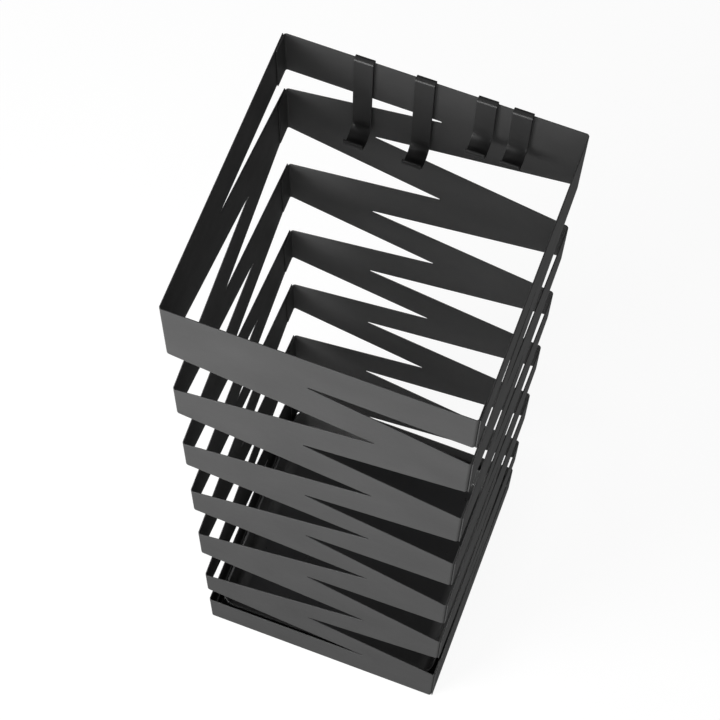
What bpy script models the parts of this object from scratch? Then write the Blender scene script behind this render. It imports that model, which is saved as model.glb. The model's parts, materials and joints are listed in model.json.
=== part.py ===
"""Square umbrella stand of slit sheet steel, with a loose drip tray and four hooks on the back rim.

Two L-shaped panels make the tower. Each is cut flat, with long pointed slits, and then folded. The slits
open at the corners of the tower, so the steel between them is left as seven slanted bands.
Axes: +Z up, +X right, -Y front. The origin is the centre of the footprint on the floor.
"""

from math import cos, pi, radians, sin

import bmesh
import bpy
from mathutils import Vector
from mathutils.geometry import delaunay_2d_cdt

MM = 0.001

# Tower
WIDTH = 155 * MM
HEIGHT = 500 * MM
SHEET = 0.6 * MM
FOLD_RADIUS = 1.3 * MM  # at the middle of the sheet
FLANGE = 11.0 * MM  # from the outer face that it is folded from
FLOOR_GAP = 0.8 * MM  # the walls stand clear of the floor by this
GAP = 0.2 * MM  # between pieces that touch
SLIT_END = 1.8 * MM  # width of a slit at its point, where it is rounded

# Slits, in millimetres. Both walls' slits meet at their corner and make one gap there. Each row is one gap:
# its top and bottom at the corner, the height of its point on the wide wall (the front or the back), and
# the height of its point on the side wall. Two corners are folded and two are seams between the panels.
FRONT_LEFT_FOLD = [
    (448.5, 401.5, 426, 423),
    (370.5, 324.5, 349, 344),
    (293.5, 248.5, 278.5, 268),
    (218, 172, 205, 195),
    (137, 89, 118, 112.5),
    (60.5, 35.5, 37.5, 37.5),
]
BACK_RIGHT_FOLD = [
    (448, 402, 427.5, 423),
    (366.5, 320.5, 343.5, 344),
    (290, 245, 267.5, 268),
    (214, 170, 193.5, 195),
    (133, 88, 116, 112.5),
    (57, 35.5, 37.5, 37.5),
]
FRONT_RIGHT_SEAM = [
    (466, 443, 467.5, 465),
    (404.5, 363.5, 388.5, 381.5),
    (326.5, 287.5, 313, 303.5),
    (249, 208, 244.5, 227.5),
    (172, 130.5, 166.5, 152),
    (94, 51.5, 79, 75.5),
]
BACK_LEFT_SEAM = [
    (466.5, 447, 465, 465.5),
    (407.5, 366, 384, 382),
    (328, 285, 305, 303.5),
    (250, 211, 229, 227.5),
    (177, 133.5, 153, 152),
    (97, 53.5, 76, 75.5),
]
# How far the slits reach along a wall from their corner. The top slit at a seam is a little shorter.
WIDE_FOLD_REACH = 105.5 * MM
SIDE_FOLD_REACH = 102 * MM
WIDE_SEAM_REACH = 84.5 * MM
SIDE_SEAM_REACH = 87.5 * MM
TOP_SLIT_SHORTER = 3 * MM

# Base plate and foot pads
PAD_RADIUS = 7 * MM
PAD_HEIGHT = 1.7 * MM
PAD_INSET = 14 * MM  # from the tower's outer faces to a pad's centre
BASE_RIM = 8 * MM
BASE_FOLD_RADIUS = 1.5 * MM

# Drip tray
TRAY_WIDTH = 146 * MM
TRAY_HEIGHT = 22 * MM
TRAY_WALL = 1.6 * MM
TRAY_CORNER = 10 * MM
TRAY_DRAFT = 2 * MM  # how much narrower each side is at the foot than at the rim
TRAY_FILLET = 3 * MM
TRAY_FOOT = 2 * MM  # chamfer round the underside
TRAY_FLOOR_CORNER = 2 * MM

# Hooks
HOOK_WIDTH = 10 * MM
HOOK_STRIP = 0.9 * MM
HOOK_TOP_RADIUS = 1.2 * MM  # at the middle of the strip
HOOK_INSIDE_GAP = 1.2 * MM  # between the wall and the leg inside it
HOOK_OUTSIDE_GAP = 0.3 * MM
HOOK_CURL_RADIUS = 6.5 * MM
HOOK_BACK_LEG = 18 * MM
HOOK_TIP = 1.5 * MM
HOOKS = {  # centre along the back wall, height of the curl's centre
    "hook_long_left": (-35.3 * MM, 441.5 * MM),
    "hook_long_right": (-4.2 * MM, 441.5 * MM),
    "hook_short_left": (26.9 * MM, 473.5 * MM),
    "hook_short_right": (44.7 * MM, 473.5 * MM),
}

FOLD_STEPS = 8
SLIT_END_STEPS = 4
CORNER_STEPS = 6
RIM_STEPS = 4
HOOK_TOP_STEPS = 4
HOOK_CURL_STEPS = 14
PAD_SIDES = 24

HALF = WIDTH / 2
BASE_UNDERSIDE = PAD_HEIGHT + GAP
BASE_TOP = BASE_UNDERSIDE + SHEET


# ---------------------------------------------------------------- materials and objects


def material(name, colour, roughness, metallic):
    made = bpy.data.materials.new(name)
    made.use_nodes = True
    shader = made.node_tree.nodes["Principled BSDF"]
    shader.inputs["Base Color"].default_value = (*colour, 1)
    shader.inputs["Roughness"].default_value = roughness
    shader.inputs["Metallic"].default_value = metallic
    return made


def add_object(name, bm, surface, smooth=False):
    mesh = bpy.data.meshes.new(name)
    bm.to_mesh(mesh)
    bm.free()
    mesh.materials.append(surface)
    if smooth:
        mesh.shade_smooth()
        mesh.set_sharp_from_angle(angle=radians(35))
    made = bpy.data.objects.new(name, mesh)
    bpy.context.collection.objects.link(made)
    return made


# ---------------------------------------------------------------- folded sheet metal


def flat_blank(outline, holes=()):
    """A flat face in X and Y, bounded by the outline, without the holes."""
    points = []
    rings = []
    for ring in (outline, *holes):
        first = len(points)
        points += [Vector(point) for point in ring]
        rings.append(list(range(first, len(points))))
    edges = [(ring[i - 1], ring[i]) for ring in rings for i in range(len(ring))]
    triangles_inside = 1
    corners, _, faces, _, _, owners = delaunay_2d_cdt(points, edges, rings, triangles_inside, 1e-7)
    bm = bmesh.new()
    made = [bm.verts.new((x, y, 0)) for x, y in corners]
    for face, owner in zip(faces, owners):
        if owner == [0]:  # in the outline and in no hole
            bm.faces.new([made[i] for i in face])
    return bm


def crease(bm, axis, middle, radius):
    """Cuts the flat blank across, at each step of a fold about the line at middle on the axis."""
    half = radius * pi / 4
    normal = Vector((1, 0, 0)) if axis == 0 else Vector((0, 1, 0))
    for step in range(FOLD_STEPS + 1):
        place = middle - half + 2 * half * step / FOLD_STEPS
        whole = bm.verts[:] + bm.edges[:] + bm.faces[:]
        bmesh.ops.bisect_plane(bm, geom=whole, dist=1e-7, plane_co=normal * place, plane_no=normal)


def fold(run, radius):
    """Where a strip goes that is folded up by a right angle: along and up, from the fold's middle."""
    half = radius * pi / 4
    if run <= -half:
        return run + half - radius, 0
    if run >= half:
        return 0, run - half + radius
    angle = (run + half) / radius
    return radius * sin(angle) - radius, radius - radius * cos(angle)


def thicken(made):
    solid = made.modifiers.new("Sheet", "SOLIDIFY")
    solid.thickness = SHEET
    solid.offset = 0
    solid.use_even_offset = True
    return made


# ---------------------------------------------------------------- tower


def slit_end(along, height, way):
    """Points round the end of a slit, from below. The way is 1 or -1: where it points along the blank."""
    radius = SLIT_END / 2
    centre = along - way * radius
    points = []
    for step in range(SLIT_END_STEPS + 1):
        angle = pi * step / SLIT_END_STEPS - pi / 2
        points.append((centre + way * radius * cos(angle), height * MM + radius * sin(angle)))
    return points


def seam_ends(slits, reach, column):
    """Reach, height of the point, top and bottom of each slit at a seam, from the top one down."""
    for number, row in enumerate(slits):
        yield reach - (TOP_SLIT_SHORTER if number == 0 else 0), row[column], row[0] * MM, row[1] * MM


def panel_blank(fold_slits, wide_seam_slits, side_seam_slits):
    """The flat blank of one L-shaped panel, and its length from the fold to the flange's fold.

    Along the blank, zero is the fold between the two walls. The side wall lies below zero and ends in a
    cut edge at the seam; the wide wall lies above zero and ends in the flange.
    """
    middle = HALF - SHEET / 2
    fold_loss = (2 - pi / 2) * FOLD_RADIUS  # a rounded fold is this much shorter than a sharp one
    side_end = -(2 * middle - fold_loss / 2 - SHEET / 2)
    seam_fold = 2 * middle - SHEET - GAP - fold_loss
    flange_end = seam_fold + FLANGE - SHEET / 2 - fold_loss / 2
    outline = [(side_end, FLOOR_GAP), (flange_end, FLOOR_GAP)]
    for reach, point, upper, lower in reversed(list(seam_ends(wide_seam_slits, WIDE_SEAM_REACH, 2))):
        end = slit_end(seam_fold - reach, point, -1)
        outline += [(flange_end, lower), (seam_fold, lower), *end, (seam_fold, upper), (flange_end, upper)]
    outline += [(flange_end, HEIGHT), (side_end, HEIGHT)]
    for reach, point, upper, lower in seam_ends(side_seam_slits, SIDE_SEAM_REACH, 3):
        end = reversed(slit_end(side_end + reach, point, 1))
        outline += [(side_end, upper), *end, (side_end, lower)]
    holes = []
    for high, low, wide, side in fold_slits:
        wide_points = slit_end(WIDE_FOLD_REACH, wide, 1)
        side_points = reversed(slit_end(-SIDE_FOLD_REACH, side, -1))
        holes.append([(0, low * MM), *wide_points, (0, high * MM), *side_points])
    return flat_blank(outline, holes), seam_fold


def add_panel(name, surface, turn, slits):
    """An L-shaped panel: side wall, fold, wide wall, fold, flange. The turn is 0 or half a turn about Z."""
    bm, seam_fold = panel_blank(*slits)
    crease(bm, 0, 0, FOLD_RADIUS)
    crease(bm, 0, seam_fold, FOLD_RADIUS)
    middle = HALF - SHEET / 2
    flange_plane = middle - SHEET - GAP
    for vert in bm.verts:
        run, height, _ = vert.co
        if run < seam_fold / 2:
            inward, along = fold(run, FOLD_RADIUS)
            x, y = -middle + along, -middle - inward
        else:
            inward, along = fold(run - seam_fold, FOLD_RADIUS)
            x, y = flange_plane + inward, -middle + along
        vert.co = (x, y, height)
    bmesh.ops.recalc_face_normals(bm, faces=bm.faces)
    made = thicken(add_object(name, bm, surface))
    made.rotation_euler.z = turn
    return made


def add_base_plate(surface):
    """A shallow folded pan between the walls, cut away at its corners."""
    half_x = HALF - 2 * (SHEET + GAP) - SHEET / 2
    half_y = HALF - SHEET - GAP - SHEET / 2
    fold_loss = (2 - pi / 2) * BASE_FOLD_RADIUS
    fold_x = half_x - fold_loss / 2
    fold_y = half_y - fold_loss / 2
    rim = BASE_RIM - SHEET / 2 - fold_loss / 2
    relief = 2 * SHEET + FOLD_RADIUS
    outline = []
    for sign_x, sign_y in ((-1, -1), (1, -1), (1, 1), (-1, 1)):
        notch = [
            (sign_x * (fold_x + rim), sign_y * (fold_y - relief)),
            (sign_x * (fold_x - relief), sign_y * (fold_y - relief)),
            (sign_x * (fold_x - relief), sign_y * (fold_y + rim)),
        ]
        outline += notch if sign_x == sign_y else reversed(notch)
    bm = flat_blank(outline)
    for sign in (-1, 1):
        crease(bm, 0, sign * fold_x, BASE_FOLD_RADIUS)
        crease(bm, 1, sign * fold_y, BASE_FOLD_RADIUS)
    for vert in bm.verts:
        x, y, _ = vert.co
        inward_x, up_x = fold(abs(x) - fold_x, BASE_FOLD_RADIUS)
        inward_y, up_y = fold(abs(y) - fold_y, BASE_FOLD_RADIUS)
        vert.co.x = (half_x + inward_x) * (1 if x > 0 else -1)
        vert.co.y = (half_y + inward_y) * (1 if y > 0 else -1)
        vert.co.z = up_x + up_y
    bmesh.ops.recalc_face_normals(bm, faces=bm.faces)
    made = thicken(add_object("base_plate", bm, surface))
    made.location.z = BASE_UNDERSIDE + SHEET / 2


def add_foot_pads(surface):
    offset = HALF - PAD_INSET
    places = [(-offset, -offset), (offset, -offset), (offset, offset), (-offset, offset)]
    for number, (x, y) in enumerate(places, start=1):
        bm = bmesh.new()
        bmesh.ops.create_cone(
            bm, cap_ends=True, segments=PAD_SIDES, radius1=PAD_RADIUS, radius2=PAD_RADIUS, depth=PAD_HEIGHT
        )
        made = add_object(f"foot_pad_{number}", bm, surface, smooth=True)
        made.location = (x, y, PAD_HEIGHT / 2)


# ---------------------------------------------------------------- drip tray


def rounded_square(half, corner, height):
    """Points round a square with round corners, anticlockwise from above."""
    points = []
    for quarter in range(4):
        start = quarter * pi / 2
        centre_x = (half - corner) * (1 if quarter in (0, 3) else -1)
        centre_y = (half - corner) * (1 if quarter in (0, 1) else -1)
        for step in range(CORNER_STEPS + 1):
            angle = start + step / CORNER_STEPS * pi / 2
            points.append((centre_x + corner * cos(angle), centre_y + corner * sin(angle), height))
    return points


def tray_section():
    """Inset from the rim's outer face, and height, from the underside's edge round to the tray's floor."""
    rim_radius = TRAY_WALL / 2
    section = [(TRAY_DRAFT + TRAY_FOOT, 0), (TRAY_DRAFT, TRAY_FOOT)]
    for step in range(RIM_STEPS + 1):
        angle = pi * step / RIM_STEPS
        height = TRAY_HEIGHT - rim_radius + rim_radius * sin(angle)
        section.append((rim_radius - rim_radius * cos(angle), height))
    wall_foot = TRAY_WALL + TRAY_DRAFT
    for step in range(RIM_STEPS + 1):
        angle = pi / 2 * step / RIM_STEPS
        inset = wall_foot + TRAY_FILLET * (1 - cos(angle))
        section.append((inset, TRAY_WALL + TRAY_FILLET * (1 - sin(angle))))
    return section


def add_tray(surface):
    bm = bmesh.new()
    loops = []
    for inset, height in tray_section():
        corner = max(TRAY_CORNER - inset, TRAY_FLOOR_CORNER)
        points = rounded_square(TRAY_WIDTH / 2 - inset, corner, height)
        loops.append([bm.verts.new(point) for point in points])
    for lower, upper in zip(loops, loops[1:]):
        for i in range(len(lower)):
            bm.faces.new((lower[i - 1], lower[i], upper[i], upper[i - 1]))
    bm.faces.new(loops[-1])
    bm.faces.new(reversed(loops[0]))
    made = add_object("drip_tray", bm, surface, smooth=True)
    made.location.z = BASE_TOP + GAP


# ---------------------------------------------------------------- hooks


def arc(centre, radius, start, end, steps):
    """Points along an arc, as pairs of depth and height; angles in degrees, anticlockwise."""
    points = []
    for step in range(steps + 1):
        angle = radians(start + (end - start) * step / steps)
        points.append((centre[0] + radius * cos(angle), centre[1] + radius * sin(angle)))
    return points


def hook_path(curl_height):
    """Middle of the strip, in depth and height: up behind the wall, over the rim, down inside and curled."""
    half = HOOK_STRIP / 2
    inside = HALF - SHEET - HOOK_INSIDE_GAP - half
    behind = HALF + HOOK_OUTSIDE_GAP + half
    top = HEIGHT + GAP + half
    corner = top - HOOK_TOP_RADIUS
    path = [(behind, top - HOOK_BACK_LEG)]
    path += arc((behind - HOOK_TOP_RADIUS, corner), HOOK_TOP_RADIUS, 0, 90, HOOK_TOP_STEPS)
    path += arc((inside + HOOK_TOP_RADIUS, corner), HOOK_TOP_RADIUS, 90, 180, HOOK_TOP_STEPS)
    path += arc((inside - HOOK_CURL_RADIUS, curl_height), HOOK_CURL_RADIUS, 0, -180, HOOK_CURL_STEPS)
    path.append((inside - 2 * HOOK_CURL_RADIUS, curl_height + HOOK_TIP))
    return path


def strip_mesh(path, width, thickness):
    """A flat strip bent along a path in the Y-Z plane."""
    bm = bmesh.new()
    rings = []
    for i, point in enumerate(path):
        before = Vector(path[max(i - 1, 0)])
        after = Vector(path[min(i + 1, len(path) - 1)])
        here = Vector(point)
        into = (here - before).normalized() if i else (after - here).normalized()
        out = (after - here).normalized() if i < len(path) - 1 else into
        across = (into + out).normalized().orthogonal()
        across *= thickness / 2 / max(across.dot(into.orthogonal()), 0.5)
        ring = []
        for side, face in ((-1, -1), (1, -1), (1, 1), (-1, 1)):
            y, z = here + across * face
            ring.append(bm.verts.new((side * width / 2, y, z)))
        rings.append(ring)
    for one, two in zip(rings, rings[1:]):
        for i in range(4):
            bm.faces.new((one[i - 1], one[i], two[i], two[i - 1]))
    bm.faces.new(rings[0])
    bm.faces.new(reversed(rings[-1]))
    bmesh.ops.recalc_face_normals(bm, faces=bm.faces)
    return bm


def add_hooks(surface):
    for name, (along, curl_height) in HOOKS.items():
        path = [(depth - HALF, height - HEIGHT) for depth, height in hook_path(curl_height)]
        made = add_object(name, strip_mesh(path, HOOK_WIDTH, HOOK_STRIP), surface, smooth=True)
        made.location = (along, HALF, HEIGHT)


# ---------------------------------------------------------------- build


def build():
    for old in list(bpy.data.objects):
        bpy.data.objects.remove(old)
    left_front = material("left_front_coating", (0.045, 0.045, 0.045), 0.5, 0.3)
    right_back = material("right_back_coating", (0.045, 0.045, 0.045), 0.5, 0.3)
    add_panel("left_front_panel", left_front, 0, (FRONT_LEFT_FOLD, FRONT_RIGHT_SEAM, BACK_LEFT_SEAM))
    add_panel("right_back_panel", right_back, pi, (BACK_RIGHT_FOLD, BACK_LEFT_SEAM, FRONT_RIGHT_SEAM))
    add_base_plate(material("base_coating", (0.04, 0.04, 0.04), 0.5, 0.3))
    add_foot_pads(material("pad_rubber", (0.02, 0.02, 0.02), 0.85, 0))
    add_tray(material("tray_plastic", (0.015, 0.015, 0.016), 0.18, 0))
    add_hooks(material("hook_coating", (0.04, 0.04, 0.04), 0.4, 0.3))


build()
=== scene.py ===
"""Looks of the slit-steel umbrella stand: rounded cut edges, powder coat, a moulded tray, studio light."""

import json
from math import cos, pi, radians, sin

import bmesh
import bpy
from mathutils import Matrix, Vector


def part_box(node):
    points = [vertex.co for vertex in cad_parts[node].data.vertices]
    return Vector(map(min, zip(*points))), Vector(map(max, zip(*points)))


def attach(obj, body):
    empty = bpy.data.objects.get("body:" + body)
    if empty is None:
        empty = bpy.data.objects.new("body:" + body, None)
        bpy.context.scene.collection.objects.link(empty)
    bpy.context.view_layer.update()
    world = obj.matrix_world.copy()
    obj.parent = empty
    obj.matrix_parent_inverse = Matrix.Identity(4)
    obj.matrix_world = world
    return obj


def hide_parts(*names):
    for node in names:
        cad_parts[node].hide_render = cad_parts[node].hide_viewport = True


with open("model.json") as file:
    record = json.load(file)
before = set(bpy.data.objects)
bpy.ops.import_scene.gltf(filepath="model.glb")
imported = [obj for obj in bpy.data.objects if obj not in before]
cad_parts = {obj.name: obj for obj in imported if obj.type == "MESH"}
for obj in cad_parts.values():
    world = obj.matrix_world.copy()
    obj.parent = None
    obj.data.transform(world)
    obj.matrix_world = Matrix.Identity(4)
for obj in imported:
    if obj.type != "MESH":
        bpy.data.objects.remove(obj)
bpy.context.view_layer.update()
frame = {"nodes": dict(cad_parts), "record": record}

MM = 0.001

# View
CAMERA_TARGET = Vector((-2.7 * MM, -10.9 * MM, 354.0 * MM))
CAMERA_AZIMUTH = 18.713  # degrees, to the right of the front
CAMERA_ELEVATION = 67.425
CAMERA_ROLL = 2.019
CAMERA_DISTANCE = 1146.9 * MM
CAMERA_LENS = 110.175  # millimetres on a 36 mm sensor
CAMERA_SENSOR = 36

# Cut edges
EDGE_ROUND = 0.15 * MM  # coating over the edges of sheet and strip
PAD_ROUND = 0.4 * MM
EDGE_SEGMENTS = 2
FOLD_ANGLE = 35  # degrees; anything sharper is a cut edge, not a fold
FLAT_ANGLE = 1  # degrees; faces that meet at less than this are one flat face
WELD = 0.002 * MM

# Powder coat
OUTER_DARK = (0.042, 0.042, 0.042)
OUTER_LIGHT = (0.048, 0.048, 0.048)
OUTER_ROUGHNESS = 0.5
# painted shade: the inner faces' colours are a touch darker than the outer ones; their roughness differs as
# well
INNER_SHADE_DARK = (0.040, 0.040, 0.040)
INNER_SHADE_LIGHT = (0.046, 0.046, 0.046)
INNER_ROUGHNESS = 0.56
BLACK_DARK = (0.028, 0.028, 0.028)  # the hooks and the base plate
BLACK_LIGHT = (0.034, 0.034, 0.034)
HOOK_ROUGHNESS = 0.38
BASE_ROUGHNESS = 0.42
SMEAR = 0.04  # how far the roughness strays
CLOUD_SCALE = 28  # noise scales are in patches per metre
SMEAR_SCALE = 60
PEEL_SCALE = 900
PEEL_HEIGHT = 0.02 * MM
GRAIN_SCALE = 3500
GRAIN_HEIGHT = 0.008 * MM

# Plastic and rubber
TRAY_DARK = (0.011, 0.011, 0.012)
TRAY_LIGHT = (0.018, 0.018, 0.019)
TRAY_ROUGHNESS = 0.26
TRAY_WEAR = 0.1  # how much duller the worn patches are
FILLET_HIGHLIGHT_LIGHT = (0.16, 0.16, 0.16)  # painted highlight: a pale band where the tray's floor curves up to its walls
FILLET_HIGHLIGHT_DARK = (0.112, 0.112, 0.112)
FILLET_HIGHLIGHT_START = 61 * MM  # from the tray's middle
FILLET_HIGHLIGHT_FULL = 69.5 * MM
PAD_DARK = (0.016, 0.016, 0.016)
PAD_LIGHT = (0.024, 0.024, 0.024)

# Drip tray
TRAY_WALL = 1.6 * MM
TRAY_CORNER = 10 * MM
TRAY_FLOOR_CORNER = 2 * MM  # the least that a corner's radius shrinks to
TRAY_DRAFT = 2 * MM  # how much narrower each side is at the foot than at the rim
TRAY_FILLET = 3 * MM  # between the floor and the walls
TRAY_FOOT = 2 * MM  # round the underside
TRAY_CREASE = 50  # degrees; sharper edges of the tray are shaded as edges
CORNER_STEPS = 14
RIM_STEPS = 8

# Studio, in metres and watts
LAMP_TARGET = (0, 0, 0.25)
BACK_PLACE = (-0.37, 1.08, 2.75)
BACK_POWER = 5
BACK_SIZE = (2.0, 2.0)
NEAR_PLACE = (-0.36, -0.46, 0.58)
NEAR_POWER = 5
NEAR_SIZE = (0.35, 0.35)
BROAD_PLACE = (0.05, -2.0, 0.4)
BROAD_POWER = 36
BROAD_SIZE = (1.2, 1.6)
WORLD_GLOW = 0.115
FLOOR_GLOW = 0.92
FLOOR_DARK = (0.115, 0.115, 0.115)
FLOOR_LIGHT = (0.125, 0.125, 0.125)
FLOOR_REACH = 6


# ---------------------------------------------------------------- materials


class Nodes:
    """A material's node tree, with short names for adding and joining nodes."""

    def __init__(self, name):
        self.material = bpy.data.materials.new(name)
        self.material.use_nodes = True
        self.tree = self.material.node_tree
        self.shader = self.tree.nodes["Principled BSDF"]
        coordinates = self.add("ShaderNodeTexCoord")
        self.place = coordinates.outputs["Object"]
        self.facing = coordinates.outputs["Normal"]

    def add(self, kind, **values):
        node = self.tree.nodes.new(kind)
        for key, value in values.items():
            setattr(node, key, value)
        return node

    def join(self, one, other):
        self.tree.links.new(one, other)

    def noise(self, scale, detail=2.0, roughness=0.5):
        node = self.add("ShaderNodeTexNoise")
        node.inputs["Scale"].default_value = scale
        node.inputs["Detail"].default_value = detail
        node.inputs["Roughness"].default_value = roughness
        self.join(self.place, node.inputs["Vector"])
        return node.outputs["Fac"]

    def range(self, value, low, high, start=0.3, end=0.7):
        node = self.add("ShaderNodeMapRange")
        node.inputs["From Min"].default_value = start
        node.inputs["From Max"].default_value = end
        node.inputs["To Min"].default_value = low
        node.inputs["To Max"].default_value = high
        self.join(value, node.inputs["Value"])
        return node.outputs["Result"]

    def blend(self, value, dark, light):
        node = self.add("ShaderNodeValToRGB")
        node.color_ramp.elements[0].position = 0.3
        node.color_ramp.elements[0].color = (*dark, 1)
        node.color_ramp.elements[1].position = 0.7
        node.color_ramp.elements[1].color = (*light, 1)
        self.join(value, node.inputs["Fac"])
        return node.outputs["Color"]

    def vector(self, operation, one, other=None):
        node = self.add("ShaderNodeVectorMath", operation=operation)
        self.join(one, node.inputs[0])
        if isinstance(other, tuple):
            node.inputs[1].default_value = other
        elif other:
            self.join(other, node.inputs[1])
        return node.outputs["Value" if operation == "DOT_PRODUCT" else "Vector"]

    def outside(self):
        """One on surfaces that face away from the middle of the stand, and nought on those facing in."""
        level = self.vector("MULTIPLY", self.place, (1, 1, 0))
        outward = self.vector("DOT_PRODUCT", self.facing, self.vector("NORMALIZE", level))
        return self.range(outward, 0, 1, 0.3, 0.6)

    def spread(self, start, full):
        """Nought up to one distance from the middle, one beyond another, measured square across."""
        away = self.vector("ABSOLUTE", self.place)
        parts = self.add("ShaderNodeSeparateXYZ")
        self.join(away, parts.inputs[0])
        larger = self.add("ShaderNodeMath", operation="MAXIMUM")
        self.join(parts.outputs["X"], larger.inputs[0])
        self.join(parts.outputs["Y"], larger.inputs[1])
        return self.range(larger.outputs[0], 0, 1, start, full)

    def mix(self, value, one, other):
        node = self.add("ShaderNodeMix", data_type="RGBA")
        self.join(value, node.inputs["Factor"])
        self.join(one, node.inputs[6])
        self.join(other, node.inputs[7])
        return node.outputs[2]

    def bump(self, value, strength, distance, under=None):
        node = self.add("ShaderNodeBump")
        node.inputs["Strength"].default_value = strength
        node.inputs["Distance"].default_value = distance
        self.join(value, node.inputs["Height"])
        if under:
            self.join(under, node.inputs["Normal"])
        return node.outputs["Normal"]

    def set(self, **values):
        for key, value in values.items():
            self.shader.inputs[key.replace("_", " ")].default_value = value


def powder_coat(name, dark, light, roughness):
    """Fine-textured black powder coat, slightly uneven in colour and shine."""
    m = Nodes(name)
    m.join(m.blend(m.noise(CLOUD_SCALE, 4), dark, light), m.shader.inputs["Base Color"])
    smear = m.noise(SMEAR_SCALE, 3, 0.6)
    m.join(m.range(smear, roughness - SMEAR, roughness + SMEAR), m.shader.inputs["Roughness"])
    add_grain(m)
    return m.material


def panel_coat(name):
    """The panels' powder coat, which lies drier and rougher on the inner faces than on the outer ones; the
    inner faces are also painted a touch darker, as painted shade for the inside of the stand.
    """
    m = Nodes(name)
    outside = m.outside()
    cloud = m.noise(CLOUD_SCALE, 4)
    # painted shade: the faces that look into the stand get the darker colours
    inner = m.blend(cloud, INNER_SHADE_DARK, INNER_SHADE_LIGHT)
    outer = m.blend(cloud, OUTER_DARK, OUTER_LIGHT)
    m.join(m.mix(outside, inner, outer), m.shader.inputs["Base Color"])
    smear = m.range(m.noise(SMEAR_SCALE, 3, 0.6), -SMEAR, SMEAR)
    mean = m.range(outside, INNER_ROUGHNESS, OUTER_ROUGHNESS, 0, 1)
    total = m.add("ShaderNodeMath", operation="ADD")
    m.join(mean, total.inputs[0])
    m.join(smear, total.inputs[1])
    m.join(total.outputs[0], m.shader.inputs["Roughness"])
    add_grain(m)
    return m.material


def add_grain(m):
    """Orange peel with a finer grain on it."""
    peel = m.bump(m.noise(PEEL_SCALE, 2), 0.25, PEEL_HEIGHT)
    grain = m.bump(m.noise(GRAIN_SCALE, 1), 0.2, GRAIN_HEIGHT, under=peel)
    m.join(grain, m.shader.inputs["Normal"])
    m.set(Metallic=0.0, IOR=1.5)


def tray_plastic(name):
    """Glossy injection-moulded plastic: faint flow unevenness, dull patches from wear, and a painted
    highlight round the foot of the walls.
    """
    m = Nodes(name)
    clean = m.blend(m.noise(18, 3), TRAY_DARK, TRAY_LIGHT)
    # painted highlight: pale colour round the fillet at the foot of the walls, standing in for light caught
    # there
    fillet_highlight = m.blend(m.noise(70, 3), FILLET_HIGHLIGHT_LIGHT, FILLET_HIGHLIGHT_DARK)
    m.join(m.mix(m.spread(FILLET_HIGHLIGHT_START, FILLET_HIGHLIGHT_FULL), clean, fillet_highlight), m.shader.inputs["Base Color"])
    wear = m.range(m.noise(45, 5, 0.65), TRAY_ROUGHNESS, TRAY_ROUGHNESS + TRAY_WEAR)
    m.join(wear, m.shader.inputs["Roughness"])
    m.join(m.bump(m.noise(120, 2), 0.15, 0.03 * MM), m.shader.inputs["Normal"])
    m.set(Metallic=0.0, IOR=1.49)
    return m.material


def pad_rubber(name):
    """Matte rubber with a fine pebbled skin."""
    m = Nodes(name)
    m.join(m.blend(m.noise(200, 3), PAD_DARK, PAD_LIGHT), m.shader.inputs["Base Color"])
    m.join(m.range(m.noise(400, 2), 0.75, 0.9), m.shader.inputs["Roughness"])
    m.join(m.bump(m.noise(1500, 2), 0.5, 0.05 * MM), m.shader.inputs["Normal"])
    return m.material


# ---------------------------------------------------------------- pieces


def add_piece(name, bm, surface, body, nodes):
    """Puts the mesh in the scene as a piece that rides on the body and stands for the CAD nodes."""
    mesh = bpy.data.meshes.new(name)
    bm.to_mesh(mesh)
    bm.free()
    mesh.materials.append(surface)
    mesh.shade_smooth()
    made = bpy.data.objects.new(name, mesh)
    bpy.context.scene.collection.objects.link(made)
    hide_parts(*nodes)
    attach(made, body)
    return made


def whole_faces(node):
    """The CAD solid with its flat regions as single faces."""
    bm = bmesh.new()
    bm.from_mesh(frame["nodes"][node].data)
    bmesh.ops.remove_doubles(bm, verts=bm.verts, dist=WELD)
    bmesh.ops.dissolve_limit(bm, angle_limit=radians(FLAT_ANGLE), verts=bm.verts, edges=bm.edges)
    return bm


def round_edges(made, width):
    """Rounds the cut edges and leaves the folds as they are."""
    bevel = made.modifiers.new("Edges", "BEVEL")
    bevel.width = width
    bevel.segments = EDGE_SEGMENTS
    bevel.limit_method = "ANGLE"
    bevel.angle_limit = radians(FOLD_ANGLE)
    bevel.use_clamp_overlap = True
    evened = made.modifiers.new("Normals", "WEIGHTED_NORMAL")
    evened.weight = 100
    evened.keep_sharp = True


def add_finished(node, surface, body, width=EDGE_ROUND):
    """The CAD node's own shape with its cut edges rounded and its coating on."""
    made = add_piece(f"{node}_finished", whole_faces(node), surface, body, [node])
    round_edges(made, width)


# ---------------------------------------------------------------- drip tray


def rounded_square(half, corner, height):
    """Points round a square with round corners, anticlockwise from above."""
    points = []
    for quarter in range(4):
        centre_x = (half - corner) * (1 if quarter in (0, 3) else -1)
        centre_y = (half - corner) * (1 if quarter in (0, 1) else -1)
        for step in range(CORNER_STEPS + 1):
            angle = (quarter + step / CORNER_STEPS) * pi / 2
            points.append((centre_x + corner * cos(angle), centre_y + corner * sin(angle), height))
    return points


def tray_section(height):
    """Inset and height, from the underside's edge over the rolled rim and down to the tray's floor."""
    rim = TRAY_WALL / 2
    section = []
    for step in range(RIM_STEPS + 1):
        angle = pi / 2 * step / RIM_STEPS
        section.append((TRAY_DRAFT + TRAY_FOOT * (1 - sin(angle)), TRAY_FOOT * (1 - cos(angle))))
    for step in range(RIM_STEPS + 1):
        angle = pi * step / RIM_STEPS
        section.append((rim * (1 - cos(angle)), height - rim + rim * sin(angle)))
    for step in range(RIM_STEPS + 1):
        angle = pi / 2 * step / RIM_STEPS
        inset = TRAY_WALL + TRAY_DRAFT + TRAY_FILLET * (1 - cos(angle))
        section.append((inset, TRAY_WALL + TRAY_FILLET * (1 - sin(angle))))
    return section


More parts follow.
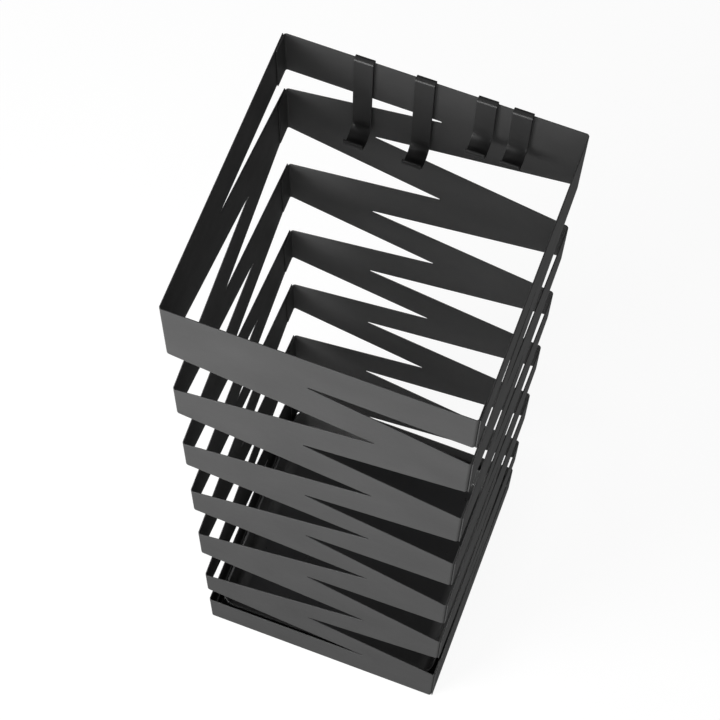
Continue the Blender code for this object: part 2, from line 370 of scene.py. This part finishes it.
def add_tray(surface):
    """The drip tray, lofted from its section in the box of its CAD node."""
    low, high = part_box("drip_tray")
    half = (high.x - low.x) / 2
    bm = bmesh.new()
    loops = []
    for inset, height in tray_section(high.z - low.z):
        corner = max(TRAY_CORNER - inset, TRAY_FLOOR_CORNER)
        points = rounded_square(half - inset, corner, low.z + height)
        loops.append([bm.verts.new(point) for point in points])
    for lower, upper in zip(loops, loops[1:]):
        for i in range(len(lower)):
            bm.faces.new((lower[i - 1], lower[i], upper[i], upper[i - 1]))
    bm.faces.new(loops[-1])
    bm.faces.new(reversed(loops[0]))
    made = add_piece("moulded_drip_tray", bm, surface, "tray", ["drip_tray"])
    made.data.set_sharp_from_angle(angle=radians(TRAY_CREASE))


# ---------------------------------------------------------------- studio


def add_floor():
    """A wide, pale, faintly glowing floor, which glossy surfaces don't pick up."""
    bm = bmesh.new()
    bmesh.ops.create_grid(bm, x_segments=1, y_segments=1, size=FLOOR_REACH)
    mesh = bpy.data.meshes.new("floor")
    bm.to_mesh(mesh)
    bm.free()
    m = Nodes("floor_white")
    m.join(m.blend(m.noise(3, 2), FLOOR_DARK, FLOOR_LIGHT), m.shader.inputs["Base Color"])
    m.set(Roughness=0.9, Emission_Color=(1, 1, 1, 1), Emission_Strength=FLOOR_GLOW)
    m.shader.inputs["Specular IOR Level"].default_value = 0.1
    mesh.materials.append(m.material)
    floor = bpy.data.objects.new("floor", mesh)
    bpy.context.scene.collection.objects.link(floor)
    floor.visible_glossy = False


def add_softbox(name, place, size, power):
    data = bpy.data.lights.new(name, "AREA")
    data.shape = "RECTANGLE"
    data.size, data.size_y = size
    data.energy = power
    lamp = bpy.data.objects.new(name, data)
    lamp.location = place
    lamp.rotation_euler = (Vector(place) - Vector(LAMP_TARGET)).to_track_quat("Z", "Y").to_euler()
    bpy.context.scene.collection.objects.link(lamp)


def add_world():
    """Even, pale light from all round."""
    world = bpy.data.worlds.new("studio")
    world.use_nodes = True
    background = world.node_tree.nodes["Background"]
    background.inputs["Color"].default_value = (1, 1, 1, 1)
    background.inputs["Strength"].default_value = WORLD_GLOW
    bpy.context.scene.world = world


def add_studio():
    add_floor()
    add_world()
    add_softbox("back", BACK_PLACE, BACK_SIZE, BACK_POWER)
    add_softbox("near", NEAR_PLACE, NEAR_SIZE, NEAR_POWER)
    add_softbox("broad", BROAD_PLACE, BROAD_SIZE, BROAD_POWER)
    bpy.context.scene.view_settings.view_transform = "Standard"


def add_camera():
    """Looks steeply down from the front, a little to the right."""
    azimuth, elevation = radians(CAMERA_AZIMUTH), radians(CAMERA_ELEVATION)
    back = Vector((sin(azimuth) * cos(elevation), -cos(azimuth) * cos(elevation), sin(elevation)))
    data = bpy.data.cameras.new("camera")
    data.lens = CAMERA_LENS
    data.sensor_width = CAMERA_SENSOR
    camera = bpy.data.objects.new("camera", data)
    camera.location = CAMERA_TARGET + back * CAMERA_DISTANCE
    level = back.to_track_quat("Z", "Y").to_matrix()
    camera.rotation_euler = (level @ Matrix.Rotation(radians(CAMERA_ROLL), 3, "Z")).to_euler()
    bpy.context.scene.collection.objects.link(camera)
    bpy.context.scene.camera = camera


# ---------------------------------------------------------------- build


def add_tower():
    coat = panel_coat("panel_powder_coat")
    for node in ("left_front_panel", "right_back_panel"):
        add_finished(node, coat, "tower")
    base_coat = powder_coat("base_powder_coat", BLACK_DARK, BLACK_LIGHT, BASE_ROUGHNESS)
    add_finished("base_plate", base_coat, "tower")
    rubber = pad_rubber("pad_rubber")
    for number in range(1, 5):
        add_finished(f"foot_pad_{number}", rubber, "tower", width=PAD_ROUND)


def add_hooks():
    """Each hook rides on its own body."""
    coat = powder_coat("hook_powder_coat", BLACK_DARK, BLACK_LIGHT, HOOK_ROUGHNESS)
    for body, nodes in frame["record"]["behaviour"]["bodies"].items():
        for node in nodes:
            if node.startswith("hook_"):
                add_finished(node, coat, body)


add_tower()
add_hooks()
add_tray(tray_plastic("tray_gloss"))
add_studio()
add_camera()
